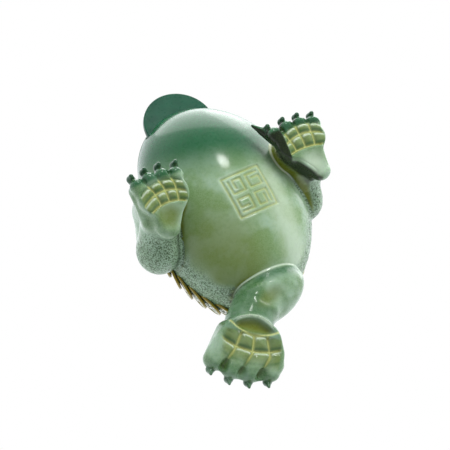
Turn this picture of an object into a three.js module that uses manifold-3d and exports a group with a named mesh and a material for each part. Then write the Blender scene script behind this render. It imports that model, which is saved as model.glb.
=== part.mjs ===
// Three-legged money toad, a cast and polished translucent green figurine with a coin in its mouth.
// Units are millimetres. X is the toad's left, -Y is the way it faces, +Z is up.
// The design frame has its origin on the ground, half way between the two front soles.
import * as THREE from "three";
import { mergeVertices } from "three/addons/utils/BufferGeometryUtils.js";
import Module from "manifold-3d";

const wasm = await Module();
wasm.setup();

const GAP = 0.3; // clearance between pieces that touch on the real object
const UP = new THREE.Vector3(0, 1, 0);
const DEG = Math.PI / 180;

// Trunk: an egg lying on its belly with the throat end raised.
const MID_X = 1.8; // the trunk's middle plane
const SWAY = [
  [-30, 0.6],
  [-10, 1.6],
  [20, 0.8],
  [45, -1.4],
]; // y, and how far the trunk leans to the toad's left there
const TORSO_CENTRE = [MID_X, 10, 28.6];
const TORSO_RADII = [30.5, 41, 24];
const TORSO_PITCH = -11 * DEG;

// Head: a broad lump on the front of the trunk, above the mouth line.
const HEAD_CENTRE = [MID_X, -10, 41.5];
const HEAD_RADII = [19.5, 20, 13.5];
const HEAD_PITCH = -8 * DEG;
const CROWN_CENTRE = [MID_X, -5, 47.5];
const CROWN_RADII = [12.5, 13, 9];

const EYE_CENTRE = [11, -16, 52];
const EYE_RADIUS = 4.6;
const BROW_CENTRE = [9.8, -13.6, 50.6];
const BROW_RADII = [6.4, 7.6, 6.4];
const NOSTRIL_CENTRE = [4, -28.4, 46.5];
const NOSTRIL_RADIUS = 1.1;

// Loose coin in the mouth, and the slot that holds it.
const COIN_CENTRE = [1.6, -26.4, 35.4];
const COIN_RADIUS = 13.5;
const COIN_THICKNESS = 2.6;
const COIN_RIM_WIDTH = 1.6;
const COIN_RIM_STEP = 0.35;
const COIN_HOLE = 5;
const COIN_TILT = -20 * DEG; // front edge higher than the back edge
const SLOT_SIDE = 2 * COIN_RADIUS + 1;
const SLOT_HEIGHT = COIN_THICKNESS + 0.7;
const LIP_LINE_HEIGHT = 1.1;
const LIP_LINE_DEPTH = 1.2;
const LIP_LINE_REACH = 10; // behind the coin's centre

// Front legs, given for the left side and mirrored for the right.
const SHOULDER = [22, 2, 33.5];
const SHOULDER_RADIUS = 9;
const SHOULDER_LEAN = -1.5; // the shoulders follow the trunk, which lies to the left of the feet
const ELBOW = [29.4, 16.5, 23.5];
const ELBOW_RADIUS = 7.9;
const ELBOW_LUMP = [30.4, 17.4, 21.5];
const ELBOW_LUMP_RADII = [6.6, 7.6, 8.6];
const ELBOW_LEAN = 0.7; // the left elbow is this much closer to the trunk, the right one further off
const WRIST = [31, 5.5, 9];
const WRIST_RADIUS = 6.2;
const INNER_BOTTOM = [28, 1.5, 8];
const INNER_TOP = [25, 2, 26];
const INNER_RADII = [7.2, 8];

// Single rear leg, folded under the rump and swung towards the toad's right.
const HAUNCH_CENTRE = [-2, 47, 12.6];
const HAUNCH_RADII = [15.6, 9.6, 8.8];
const HAUNCH_TURN = -16 * DEG;
const SHANK_TOP = [-9, 49.5, 10.5];
const SHANK_TOP_RADIUS = 8.2;
const ANKLE = [-14.6, 54.4, 10];
const ANKLE_RADIUS = 8.8;

// A foot's own frame: u across it, v forward, w up. An ellipsoid is [centre, radii] and a limb is
// [from, to, radius, radius]. The toes' axes spread and bend sideways along v.
const FRONT_FOOT = {
  origin: [29.3, 0],
  heading: 0,
  ellipsoids: [[[-0.2, -1, 2], [9.9, 8, 6.8]]],
  limbs: [
    [[-0.4, -2.5, 3], [2, -12, 4], 7.6, 4.6],
    [[7.4, 4, 5.6], [5.4, -7.5, 8], 2.8, 3.2],
  ],
  spread: (v) => 4.25 + 0.165 * v,
  bend: () => -0.3,
  toeTips: [4.5, 5.7, 5.7, 4.9],
  toeStations: [-3, 3.5],
  toeRadii: [2.2, 2.7, 3],
  toeHeight: 2.7,
  clawSize: 1,
  clawStart: 2.2,
  clawHeight: 4,
  rows: [(u) => -4 - 0.04 * (u + 0.5) ** 2, (u) => 0.3 - 0.04 * (u + 0.5) ** 2],
  rowEnds: [-9.4, 9.4],
  hollow: [[0.6, -10.2, -0.9], [4.6, 3.6, 2.2]],
};
const REAR_FOOT = {
  origin: [-17.5, 58.5],
  heading: -147.5 * DEG,
  ellipsoids: [
    [[0.4, 0.8, 2.6], [10.8, 6.4, 7.2]],
    [[0.6, 6.5, 2.2], [13.4, 8.6, 6.2]],
    [[1.6, 10.5, 3.6], [13.8, 7.6, 3.2]],
  ],
  limbs: [[[12.4, 12.5, 4.6], [8.4, 1, 6.5], 3.9, 4.2]],
  spread: (v) => 4.8 + 0.13 * Math.min(v, 20),
  bend: (v) => Math.max(0, 0.28 * (v - 8)),
  toeTips: [14.3, 16.2, 16.6, 14.6],
  toeStations: [3, 10],
  toeRadii: [3, 3.6, 3.3],
  toeHeight: 3.2,
  clawSize: 1.25,
  clawStart: 1.6,
  clawHeight: 4.2,
  rows: [(u) => 1.5 - 0.035 * u ** 2, (u) => 7.4 - 0.02 * (u - 0.3) ** 2],
  rowEnds: [-10.5, 10.5],
  hollow: [[0.4, -1.6, -0.8], [7.2, 2.4, 2.2]],
};
const ROW_STEPS = 3;
const LINE_RADIUS = 0.6; // grooves between the foot pads
const SPUR = [
  [[-8, 4, 5], [-11.4, 9.5, 5.4], 2, 1.5],
  [[-11.4, 9.5, 5.4], [-14.2, 12.4, 5], 1.4, 0.6],
]; // the left foot's small inner claw

const CLAW_LENGTH = 2.9;
const CLAW_DROP = 1.9;
const CLAW_ROOT_RADIUS = 1.45;
const CLAW_TIP_RADIUS = 0.5;

// String of coins laid over the rump from shoulder to shoulder.
const STRING_COINS = 22;
const STRING_START = -14 * DEG;
const STRING_END = 194 * DEG;
const STRING_FLANK_HEIGHT = 11.5; // above the trunk's own mid plane
const STRING_REAR_DROP = 5;
const STRING_LEFT_RISE = 2.5; // higher on the left flank, lower on the right
const STRING_COIN_RADIUS = 6.2;
const STRING_COIN_THICKNESS = 1;
const STRING_COIN_HOLE = 2.6;
const STRING_COIN_LEAN = -16.5 * DEG;
const STRING_COIN_LIFT = -0.1;
const STRING_SAMPLES = 400;

// Engraved seal under the belly.
const SEAL_CENTRE = [4.1, 9.8];
const SEAL_SIDE = 16.6;
const SEAL_TURN = -3.5 * DEG;
const SEAL_LINE = 0.8;
const SEAL_DEPTH = 0.6;
const FRET_START = 6.1; // outer corner of each of the four square spirals inside the frame
const FRET_SIDE = 4.9;
const FRET_STEP = 1.7;
const FRET_BARS = 5;

// Warts down the back, in rows staggered from one to the next.
const WART_ROWS = 5;
const WARTS_PER_ROW = 4;
const WART_FIRST_Y = 6;
const WART_SPACING = 9.5;
const WART_ROW_SPACING = 7.4;
const WART_RADIUS = 2.1;
const WART_SHRINK = 0.12; // per row away from the spine
const WART_RISE = 0.2; // of the wart radius, from the skin to the wart's centre

const GROUND_SIDE = 400;
const WELD = 1e-4; // corners closer than this are one corner

// Facets round each kind of piece.
const RINGS_PER_FACET = 0.6; // of a ball, from pole to pole
const TORSO_FACETS = 30;
const HEAD_FACETS = 20;
const BUMP_FACETS = 14;
const LIMB_FACETS = 12;
const TOE_FACETS = 9;
const FINE_FACETS = 6;
const COIN_FACETS = 36;
const STRING_COIN_FACETS = 16;

const JADE = { color: 0x7e9a6e, roughness: 0.22 };
const LIMB_JADE = { color: 0x86a079, roughness: 0.26 };
const DARK_JADE = { color: 0x3f6b55, roughness: 0.2 };
const AMBER = { color: 0x9a8f55, roughness: 0.25 };
const EYE_GLASS = { color: 0x2a2417, roughness: 0.1 };

// A closed geometry as a solid for booleans.
function solid(geometry) {
  geometry.deleteAttribute("normal");
  geometry.deleteAttribute("uv");
  const merged = mergeVertices(geometry, WELD);
  const corners = merged.index.array;
  const faces = [];
  for (let i = 0; i < corners.length; i += 3) {
    const [a, b, c] = corners.subarray(i, i + 3);
    if (a !== b && b !== c && c !== a) faces.push(a, b, c);
  }
  return new wasm.Manifold(
    new wasm.Mesh({
      numProp: 3,
      vertProperties: merged.attributes.position.array,
      triVerts: new Uint32Array(faces),
    }),
  );
}

// A solid as a three.js geometry.
function geometryOf(shape) {
  const mesh = shape.getMesh();
  const geometry = new THREE.BufferGeometry();
  geometry.setAttribute("position", new THREE.BufferAttribute(mesh.vertProperties, 3));
  geometry.setIndex(new THREE.BufferAttribute(mesh.triVerts, 1));
  const faceted = geometry.toNonIndexed();
  faceted.computeVertexNormals();
  return faceted;
}

const vec = (p) => new THREE.Vector3(...p);
const unionOf = (shapes) => shapes.reduce((whole, shape) => whole.add(shape));

// What is left of a cut piece once any slivers are dropped.
const largestOf = (shape) =>
  shape.decompose().reduce((a, b) => (a.volume() > b.volume() ? a : b));

// An ellipsoid pitched about X, then turned about Z, with its radii grown.
function ellipsoid(centre, radii, { pitch = 0, turn = 0, grow = 0, facets = BUMP_FACETS } = {}) {
  const matrix = new THREE.Matrix4().compose(
    vec(centre),
    new THREE.Quaternion().setFromEuler(new THREE.Euler(pitch, 0, turn, "ZXY")),
    new THREE.Vector3(...radii.map((r) => r + grow)),
  );
  const poleUp = new THREE.SphereGeometry(1, facets, Math.round(facets * RINGS_PER_FACET));
  return solid(poleUp.rotateX(Math.PI / 2).applyMatrix4(matrix));
}

// A tapered limb with round ends.
function limb(from, to, fromRadius, toRadius, facets = LIMB_FACETS) {
  const start = vec(from);
  const axis = vec(to).sub(start);
  const length = axis.length();
  const slope = Math.asin((fromRadius - toRadius) / length);
  const steps = Math.round(facets / 3);
  const profile = [];
  for (let i = 0; i <= steps; i++) {
    const angle = THREE.MathUtils.lerp(-Math.PI / 2, slope, i / steps);
    profile.push(new THREE.Vector2(fromRadius * Math.cos(angle), fromRadius * Math.sin(angle)));
  }
  for (let i = 0; i <= steps; i++) {
    const angle = THREE.MathUtils.lerp(slope, Math.PI / 2, i / steps);
    profile.push(
      new THREE.Vector2(toRadius * Math.cos(angle), length + toRadius * Math.sin(angle)),
    );
  }
  const turned = new THREE.LatheGeometry(profile, facets);
  const lean = new THREE.Quaternion().setFromUnitVectors(UP, axis.normalize());
  return solid(turned.applyQuaternion(lean).translate(start.x, start.y, start.z));
}

// A round coin with a square hole and a raised rim, lying flat about its own centre.
function coin(radius, thickness, hole, { rim = 0, grow = 0, facets = STRING_COIN_FACETS } = {}) {
  const disc = new THREE.Shape().absarc(0, 0, radius + grow, 0, 2 * Math.PI);
  if (hole) {
    const half = hole / 2;
    disc.holes.push(
      new THREE.Path([
        new THREE.Vector2(-half, -half),
        new THREE.Vector2(-half, half),
        new THREE.Vector2(half, half),
        new THREE.Vector2(half, -half),
      ]),
    );
  }
  const depth = thickness + 2 * grow;
  const flat = new THREE.ExtrudeGeometry(disc, {
    depth,
    bevelEnabled: false,
    curveSegments: facets / 2,
  });
  const whole = solid(flat.translate(0, 0, -depth / 2));
  if (!rim) return whole;
  const dish = () => new THREE.CylinderGeometry(radius - rim, radius - rim, thickness, facets);
  const sunk = thickness - COIN_RIM_STEP;
  const above = solid(dish().rotateX(Math.PI / 2).translate(0, 0, sunk));
  const below = solid(dish().rotateX(Math.PI / 2).translate(0, 0, -sunk));
  return whole.subtract(above).subtract(below);
}

const moved = (shape, matrix) => solid(geometryOf(shape).applyMatrix4(matrix));

// How far the trunk leans towards the toad's left at a given y.
function sway(y) {
  const after = SWAY.findIndex(([at]) => at > y);
  if (after === 0) return SWAY[0][1];
  if (after < 0) return SWAY.at(-1)[1];
  const [[y0, x0], [y1, x1]] = [SWAY[after - 1], SWAY[after]];
  return THREE.MathUtils.mapLinear(y, y0, y1, x0, x1);
}

const swayed = (shape) =>
  shape.warp((corner) => {
    corner[0] += sway(corner[1]);
  });

// A place given from the trunk's middle plane, on either side of it.
const beside = (side, [x, y, z]) => [MID_X + side * x + sway(y), y, z];

// The casting of trunk and head, before anything is cut into it.
function trunk(grow) {
  const parts = [
    ellipsoid(TORSO_CENTRE, TORSO_RADII, { pitch: TORSO_PITCH, grow, facets: TORSO_FACETS }),
    ellipsoid(HEAD_CENTRE, HEAD_RADII, { pitch: HEAD_PITCH, grow, facets: HEAD_FACETS }),
    ellipsoid(CROWN_CENTRE, CROWN_RADII, { grow }),
  ].map(swayed);
  for (const side of [-1, 1]) parts.push(ellipsoid(beside(side, BROW_CENTRE), BROW_RADII, { grow }));
  return unionOf(parts);
}

// A point of the trunk's egg from its angle round the waist and its height above the mid plane.
function onTorso(angle, height) {
  const [a, b, c] = TORSO_RADII;
  const waist = Math.sqrt(1 - (height / c) ** 2);
  const local = new THREE.Vector3(
    a * waist * Math.cos(angle),
    b * waist * Math.sin(angle),
    height,
  );
  const normal = new THREE.Vector3(local.x / a ** 2, local.y / b ** 2, local.z / c ** 2);
  const tilt = new THREE.Euler(TORSO_PITCH, 0, 0);
  const point = local.applyEuler(tilt).add(vec(TORSO_CENTRE));
  point.x += sway(point.y);
  return {
    point,
    normal: normal.applyEuler(tilt).normalize(),
  };
}

function coinPlane() {
  const turn = new THREE.Quaternion().setFromEuler(new THREE.Euler(COIN_TILT, 0, 0));
  return new THREE.Matrix4().compose(vec(COIN_CENTRE), turn, new THREE.Vector3(1, 1, 1));
}

const ball = (centre, radius, options) => ellipsoid(centre, [radius, radius, radius], options);

// Cuts of the head: the mouth slot, the lip line round the jaw, eye sockets and nostrils.
function mouthCuts() {
  const slot = new THREE.BoxGeometry(SLOT_SIDE, SLOT_SIDE, SLOT_HEIGHT);
  const sheetSide = 4 * HEAD_RADII[0];
  const sheet = new THREE.BoxGeometry(sheetSide, sheetSide, LIP_LINE_HEIGHT);
  sheet.translate(0, LIP_LINE_REACH - sheetSide / 2, 0).applyMatrix4(coinPlane());
  const cuts = [
    solid(slot.applyMatrix4(coinPlane())),
    solid(sheet).subtract(trunk(-LIP_LINE_DEPTH)),
  ];
  for (const side of [-1, 1]) {
    cuts.push(
      ball(beside(side, EYE_CENTRE), EYE_RADIUS, { grow: GAP }),
      ball(beside(side, NOSTRIL_CENTRE), NOSTRIL_RADIUS, { facets: TOE_FACETS }),
    );
  }
  return unionOf(cuts);
}

// A straight engraved line between two points of the seal's plane.
function sealBar(from, to) {
  const width = Math.abs(to.x - from.x) + SEAL_LINE;
  const height = Math.abs(to.y - from.y) + SEAL_LINE;
  const depth = TORSO_CENTRE[2];
  const bar = new THREE.BoxGeometry(width, height, depth);
  bar.translate((from.x + to.x) / 2, (from.y + to.y) / 2, depth / 2);
  return solid(bar.rotateZ(SEAL_TURN).translate(...SEAL_CENTRE, 0));
}

// A square seal: a frame round four square spirals, cut to an even depth in the belly.
function sealCut() {
  const centre = new THREE.Vector2();
  const half = (SEAL_SIDE - SEAL_LINE) / 2;
  const corner = new THREE.Vector2(half, half);
  const heading = new THREE.Vector2(0, -1);
  const bars = [];
  for (let side = 0; side < 4; side++) {
    const step = heading.clone();
    let end = corner.clone().multiplyScalar(FRET_START / half);
    for (let i = 0; i < FRET_BARS; i++) {
      const start = end;
      const shorter = Math.max(0, Math.floor((i - 1) / 2));
      end = start.clone().addScaledVector(step, FRET_SIDE - FRET_STEP * shorter);
      bars.push(sealBar(start, end));
      step.rotateAround(centre, -Math.PI / 2);
    }
    const last = corner.clone();
    corner.rotateAround(centre, Math.PI / 2);
    heading.rotateAround(centre, Math.PI / 2);
    bars.push(sealBar(last, corner));
  }
  const core = ellipsoid(TORSO_CENTRE, TORSO_RADII, {
    pitch: TORSO_PITCH,
    grow: -SEAL_DEPTH,
    facets: TORSO_FACETS,
  });
  return unionOf(bars).subtract(swayed(core));
}

function warts() {
  const made = [];
  for (let row = 0; row < WART_ROWS; row++) {
    const across = row - (WART_ROWS - 1) / 2;
    for (let i = 0; i < WARTS_PER_ROW; i++) {
      const x = across * WART_ROW_SPACING;
      const y = WART_FIRST_Y + WART_SPACING * (i + (row % 2) / 2);
      const back = y - TORSO_CENTRE[1];
      const rise = Math.sqrt(1 - (x / TORSO_RADII[0]) ** 2 - (back / TORSO_RADII[1]) ** 2);
      const skin = TORSO_CENTRE[2] + TORSO_RADII[2] * rise + back * TORSO_PITCH;
      const radius = WART_RADIUS * (1 - WART_SHRINK * Math.abs(across));
      const centre = [MID_X + x + sway(y), y, skin + WART_RISE * radius];
      made.push(ball(centre, radius, { facets: TOE_FACETS }));
    }
  }
  return unionOf(made);
}

// Everything above the ground plane.
function groundHalf() {
  const box = new THREE.BoxGeometry(GROUND_SIDE, GROUND_SIDE, GROUND_SIDE);
  return solid(box.translate(0, 0, GROUND_SIDE / 2));
}

// A foot with its toes, pads and claws, from its own description; side mirrors it.
function foot(spec, side, extras = []) {
  const forward = new THREE.Vector3(Math.sin(spec.heading), -Math.cos(spec.heading), 0);
  const right = new THREE.Vector3(Math.cos(spec.heading), Math.sin(spec.heading), 0);
  const at = ([u, v, w]) => {
    const p = new THREE.Vector3(spec.origin[0], spec.origin[1], w);
    p.addScaledVector(right, u).addScaledVector(forward, v);
    return [side * p.x, p.y, p.z];
  };
  const turn = side * spec.heading;
  const lump = ([centre, radii]) => ellipsoid(at(centre), radii, { turn });
  const bar = ([from, to, ...radii], facets = LIMB_FACETS) => limb(at(from), at(to), ...radii, facets);
  const parts = [...spec.ellipsoids.map(lump), ...spec.limbs.map((one) => bar(one))];
  spec.toeTips.forEach((tip, i) => {
    const across = i - (spec.toeTips.length - 1) / 2;
    const on = (v, w) => [across * spec.spread(v) + spec.bend(v), v, w];
    const [root, middle] = spec.toeStations.map((v) => on(v, spec.toeHeight));
    const [thin, thick, blunt] = spec.toeRadii;
    parts.push(
      bar([root, middle, thin, thick], TOE_FACETS),
      bar([middle, on(tip, spec.toeHeight), thick, blunt], TOE_FACETS),
    );
    const start = tip + spec.clawStart;
    const size = spec.clawSize;
    const clawTip = on(start + CLAW_LENGTH * size, spec.clawHeight - CLAW_DROP * size);
    const clawRadii = [CLAW_ROOT_RADIUS * size, CLAW_TIP_RADIUS * size];
    parts.push(bar([on(start, spec.clawHeight), clawTip, ...clawRadii], FINE_FACETS));
  });
  parts.push(...extras.map((one) => bar(one, FINE_FACETS)));
  const cuts = [lump(spec.hollow)];
  for (const row of spec.rows) {
    const [first, last] = spec.rowEnds;
    for (let i = 0; i < ROW_STEPS; i++) {
      const ends = [i, i + 1].map((k) => {
        const u = THREE.MathUtils.lerp(first, last, k / ROW_STEPS);
        return [u, row(u), 0];
      });
      cuts.push(bar([...ends, LINE_RADIUS, LINE_RADIUS], FINE_FACETS));
    }
  }
  return { shape: unionOf(parts), cuts: unionOf(cuts) };
}

function frontLimb(side, grow = 0) {
  const placed = ([x, y, z], lean = 0) => [side * (x - side * lean), y, z];
  const elbow = placed(ELBOW, ELBOW_LEAN);
  const wrist = placed(WRIST);
  const [bottomRadius, topRadius] = INNER_RADII;
  return unionOf([
    limb(placed(SHOULDER, SHOULDER_LEAN), elbow, SHOULDER_RADIUS + grow, ELBOW_RADIUS + grow),
    limb(elbow, wrist, ELBOW_RADIUS + grow, WRIST_RADIUS + grow),
    ellipsoid(placed(ELBOW_LUMP, ELBOW_LEAN), ELBOW_LUMP_RADII, { grow }),
    limb(placed(INNER_BOTTOM), placed(INNER_TOP), bottomRadius + grow, topRadius + grow),
  ]);
}

function rearLimb(grow = 0) {
  return unionOf([
    ellipsoid(HAUNCH_CENTRE, HAUNCH_RADII, { turn: HAUNCH_TURN, grow, facets: HEAD_FACETS }),
    limb(SHANK_TOP, ANKLE, SHANK_TOP_RADIUS + grow, ANKLE_RADIUS + grow),
  ]);
}

const cleared = trunk(GAP);
const above = groundHalf();
const group = new THREE.Group();

function addNode(name, shape, look) {
  const material = new THREE.MeshStandardMaterial({ ...look, metalness: 0 });
  const mesh = new THREE.Mesh(geometryOf(shape), material);
  mesh.name = name;
  group.add(mesh);
}

const body = trunk(0).add(warts()).subtract(mouthCuts()).subtract(sealCut());
addNode("body", body, JADE);

for (const [name, side] of [
  ["front_left_leg", 1],
  ["front_right_leg", -1],
]) {
  const { shape, cuts } = foot(FRONT_FOOT, side, side > 0 ? SPUR : []);
  const leg = frontLimb(side).add(shape).subtract(cuts).subtract(cleared).intersect(above);
  addNode(name, largestOf(leg), LIMB_JADE);
}
const rear = foot(REAR_FOOT, 1);
const rearLeg = rearLimb().add(rear.shape).subtract(rear.cuts).subtract(cleared);
addNode("rear_leg", largestOf(rearLeg.intersect(above)), LIMB_JADE);

for (const [name, side] of [
  ["left_eye", 1],
  ["right_eye", -1],
]) {
  addNode(name, ball(beside(side, EYE_CENTRE), EYE_RADIUS), EYE_GLASS);
}

const mouthCoin = coin(COIN_RADIUS, COIN_THICKNESS, COIN_HOLE, {
  rim: COIN_RIM_WIDTH,
  facets: COIN_FACETS,
});
addNode("mouth_coin", moved(mouthCoin, coinPlane()), DARK_JADE);

// Where each coin of the string lies: square to the skin, then leaning over its neighbour.
function stringPlaces() {
  const height = (angle) =>
    STRING_FLANK_HEIGHT - STRING_REAR_DROP * Math.sin(angle) + STRING_LEFT_RISE * Math.cos(angle);
  const places = [];
  let travelled = 0;
  const walked = [];
  for (let i = 0; i <= STRING_SAMPLES; i++) {
    const angle = THREE.MathUtils.lerp(STRING_START, STRING_END, i / STRING_SAMPLES);
    const place = onTorso(angle, height(angle));
    if (i) travelled += place.point.distanceTo(walked[i - 1].place.point);
    walked.push({ place, travelled });
  }
  for (let i = 0; i < STRING_COINS; i++) {
    const wanted = (travelled * i) / (STRING_COINS - 1);
    const index = Math.min(
      walked.findIndex((w) => w.travelled >= wanted - WELD),
      STRING_SAMPLES - 1,
    );
    const { point, normal } = walked[index].place;
    const along = walked[index + 1].place.point.clone().sub(point).normalize();
    const across = new THREE.Vector3().crossVectors(normal, along).normalize();
    const squared = new THREE.Vector3().crossVectors(across, normal);
    const turn = new THREE.Matrix4().makeBasis(squared, across, normal);
    const lean = new THREE.Matrix4().makeRotationY(-STRING_COIN_LEAN);
    const centre = point.clone().addScaledVector(normal, STRING_COIN_LIFT);
    places.push(turn.multiply(lean).setPosition(centre));
  }
  return places;
}

const limbs = unionOf([frontLimb(1, GAP), frontLimb(-1, GAP), rearLimb(GAP)]);
const places = stringPlaces();
places.forEach((place, i) => {
  const size = [STRING_COIN_RADIUS, STRING_COIN_THICKNESS];
  let piece = moved(coin(...size, STRING_COIN_HOLE), place).subtract(cleared).subtract(limbs);
  if (i) piece = piece.subtract(moved(coin(...size, 0, { grow: GAP }), places[i - 1]));
  addNode(`string_coin_${String(i + 1).padStart(2, "0")}`, largestOf(piece), AMBER);
});

// The part's own frame: origin on the ground under the middle of the bounding box.
const bounds = new THREE.Box3().setFromObject(group);
const middle = bounds.getCenter(new THREE.Vector3());
for (const mesh of group.children) mesh.geometry.translate(-middle.x, -middle.y, -bounds.min.z);

export default group;
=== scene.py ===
import math

import bpy
import numpy as np
import openvdb
from mathutils import Matrix, Vector

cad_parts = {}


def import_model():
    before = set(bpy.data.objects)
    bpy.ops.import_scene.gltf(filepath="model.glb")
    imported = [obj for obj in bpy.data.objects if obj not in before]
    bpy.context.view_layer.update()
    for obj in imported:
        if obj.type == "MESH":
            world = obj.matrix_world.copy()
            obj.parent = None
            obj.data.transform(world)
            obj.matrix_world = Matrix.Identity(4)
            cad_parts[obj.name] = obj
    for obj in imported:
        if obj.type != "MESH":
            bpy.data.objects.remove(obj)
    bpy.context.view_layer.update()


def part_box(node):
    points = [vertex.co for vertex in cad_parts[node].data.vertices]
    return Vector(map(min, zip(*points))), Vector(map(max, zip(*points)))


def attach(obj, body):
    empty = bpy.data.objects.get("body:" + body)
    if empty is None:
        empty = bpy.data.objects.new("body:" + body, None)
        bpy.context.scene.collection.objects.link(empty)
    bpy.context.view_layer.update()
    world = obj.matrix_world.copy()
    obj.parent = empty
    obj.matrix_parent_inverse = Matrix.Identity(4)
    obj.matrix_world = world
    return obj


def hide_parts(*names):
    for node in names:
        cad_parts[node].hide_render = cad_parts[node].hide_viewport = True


# A cast and polished three-legged money toad, sculpted as distance fields in millimetres.
# The design frame: x is the toad's left, -y is the way it faces, z is up from the ground.
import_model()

MM = 0.001
DEG = math.pi / 180
BLOCK = 10  # cells along each side of the blocks in which a field is sampled
FAR = 50.0  # stands for any distance far from the surface

# ---------------------------------------------------------------- proportions
TORSO_CENTRE = (1.8, 10, 28.6)
TORSO_RADII = (30.5, 41, 24)
TORSO_PITCH = -11 * DEG
HEAD_CENTRE = (1.8, -10, 41.5)
HEAD_RADII = (19.5, 20, 13.5)
HEAD_PITCH = -8 * DEG
CROWN_CENTRE = (1.8, -5, 47.5)
CROWN_RADII = (12.5, 13, 9)
MID_X = 1.8  # the trunk's middle plane
EYE_CENTRE = (11, -16, 52)
EYE_RADIUS = 4.6
BROW_CENTRE = (9.8, -13.6, 50.6)
BROW_RADII = (6.4, 7.6, 6.4)
NOSTRIL_CENTRE = (4, -28.4, 46.5)

COIN_CENTRE = (1.6, -26.4, 35.4)
COIN_RADIUS = 13.5
COIN_THICKNESS = 2.6
COIN_HOLE = 5.0
COIN_TILT = -20 * DEG
SLOT_HALF = (14.0, 14.0, 1.65)

SHOULDER = (22.0, 2, 33.5)
ELBOW = (29.4, 16.5, 23.5)
WRIST = (31.0, 5.5, 9.0)

SEAL_CENTRE = (4.1, 9.8)
SEAL_REACH = 12  # how far from its centre the seal's relief is worked out
SEAL_SIDE = 16.6
SEAL_TURN = -3.5 * DEG
FRET_START = 6.1
FRET_SIDE = 4.9
FRET_STEP = 1.7
FRET_BARS = 5

STRING_COINS = 22
STRING_START = -14 * DEG
STRING_END = 194 * DEG
STRING_RADIUS = 6.2
STRING_THICKNESS = 1.0
STRING_HOLE = 2.6
STRING_LEAN = -16.5 * DEG
STRING_LIFT = -0.4

SKIN_OVERLAP = 0.03  # how deep the trunk's skin lies under each limb's root
FILLET_REACH = 2.2  # how far the fillet at a limb's root spreads over the trunk

# points on the surface lie this far apart when it is sculpted, then when it is only roughed out
BODY_PITCH, ROUGH_BODY_PITCH = 0.39, 0.9
LIMB_PITCH, ROUGH_LIMB_PITCH = 0.26, 0.7
BODY_SPACE = ((-35, -42, 0), (38, 58, 60))
LIMB_SPACES = {
    "front_left_leg": ((10, -16, 0), (44, 30, 46)),
    "front_right_leg": ((-44, -16, 0), (-10, 30, 46)),
    "rear_leg": ((-46, 30, 0), (20, 84, 30)),
}

coin_low, coin_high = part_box("mouth_coin")
SHIFT = np.array((coin_low + coin_high) / 2) / MM - COIN_CENTRE


# ---------------------------------------------------------------- distance fields
def arr(values):
    return np.asarray(values, np.float32)


def length(v):
    return np.sqrt(np.einsum("ij,ij->i", v, v))


def turned(pitch=0.0, turn=0.0):
    """Columns are the axes of a frame pitched about x, then turned about z."""
    return arr(Matrix.Rotation(turn, 3, "Z") @ Matrix.Rotation(pitch, 3, "X"))


def ellipsoid(p, centre, radii, axes=None):
    q = p - arr(centre)
    if axes is not None:
        q = q @ axes
    q = q / arr(radii)
    inner = length(q)
    return inner * (inner - 1) / np.maximum(length(q / arr(radii)), 1e-6)


def ball(p, centre, radius):
    return length(p - arr(centre)) - radius


def limb(p, start, end, start_radius, end_radius):
    """A tapered capsule."""
    start, end = arr(start), arr(end)
    axis = end - start
    along = np.clip((p - start) @ axis / (axis @ axis), 0, 1)
    nearest = start + along[:, None] * axis
    return length(p - nearest) - (start_radius + (end_radius - start_radius) * along)


def join(a, b, soft):
    """Smooth union."""
    h = np.clip(0.5 + 0.5 * (b - a) / soft, 0, 1)
    return b + (a - b) * h - soft * h * (1 - h)


def carve(a, tool, soft):
    """Smooth difference: a without tool."""
    return -join(-a, tool, soft)


def step(x, low, high):
    """0 below low, 1 above high, smooth between."""
    t = np.clip((x - low) / (high - low), 0, 1)
    return t * t * (3 - 2 * t)


def mirrored(p, middle=0.0):
    q = p.copy()
    q[:, 0] = np.abs(q[:, 0] - middle)
    return q


RNG = np.random.default_rng(11)
LATTICE = RNG.random((32, 32, 32)).astype(np.float32)


def noise(p, scale):
    """Smooth value noise from 0 to 1 whose lumps are about scale mm apart."""
    q = p / scale + 1000.0
    cell = np.floor(q).astype(int)
    f = (q - cell).astype(np.float32)
    f = f * f * (3 - 2 * f)
    total = np.zeros(len(p), np.float32)
    for i in (0, 1):
        for j in (0, 1):
            for k in (0, 1):
                corner = (cell + (i, j, k)) % 32
                weight = (
                    (f[:, 0] if i else 1 - f[:, 0])
                    * (f[:, 1] if j else 1 - f[:, 1])
                    * (f[:, 2] if k else 1 - f[:, 2])
                )
                total += weight * LATTICE[corner[:, 0], corner[:, 1], corner[:, 2]]
    return total


# ---------------------------------------------------------------- meshing
def sample(field, points, batch=120_000):
    return np.concatenate(
        [field(points[i : i + batch]) for i in range(0, len(points), batch)]
    )


def gradient(field, points, reach=0.04):
    total = np.zeros_like(points)
    for corner in ((1, 1, 1), (1, -1, -1), (-1, 1, -1), (-1, -1, 1)):
        corner = arr(corner)
        total += sample(field, points + reach * corner)[:, None] * corner
    return total / (4 * reach)


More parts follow.
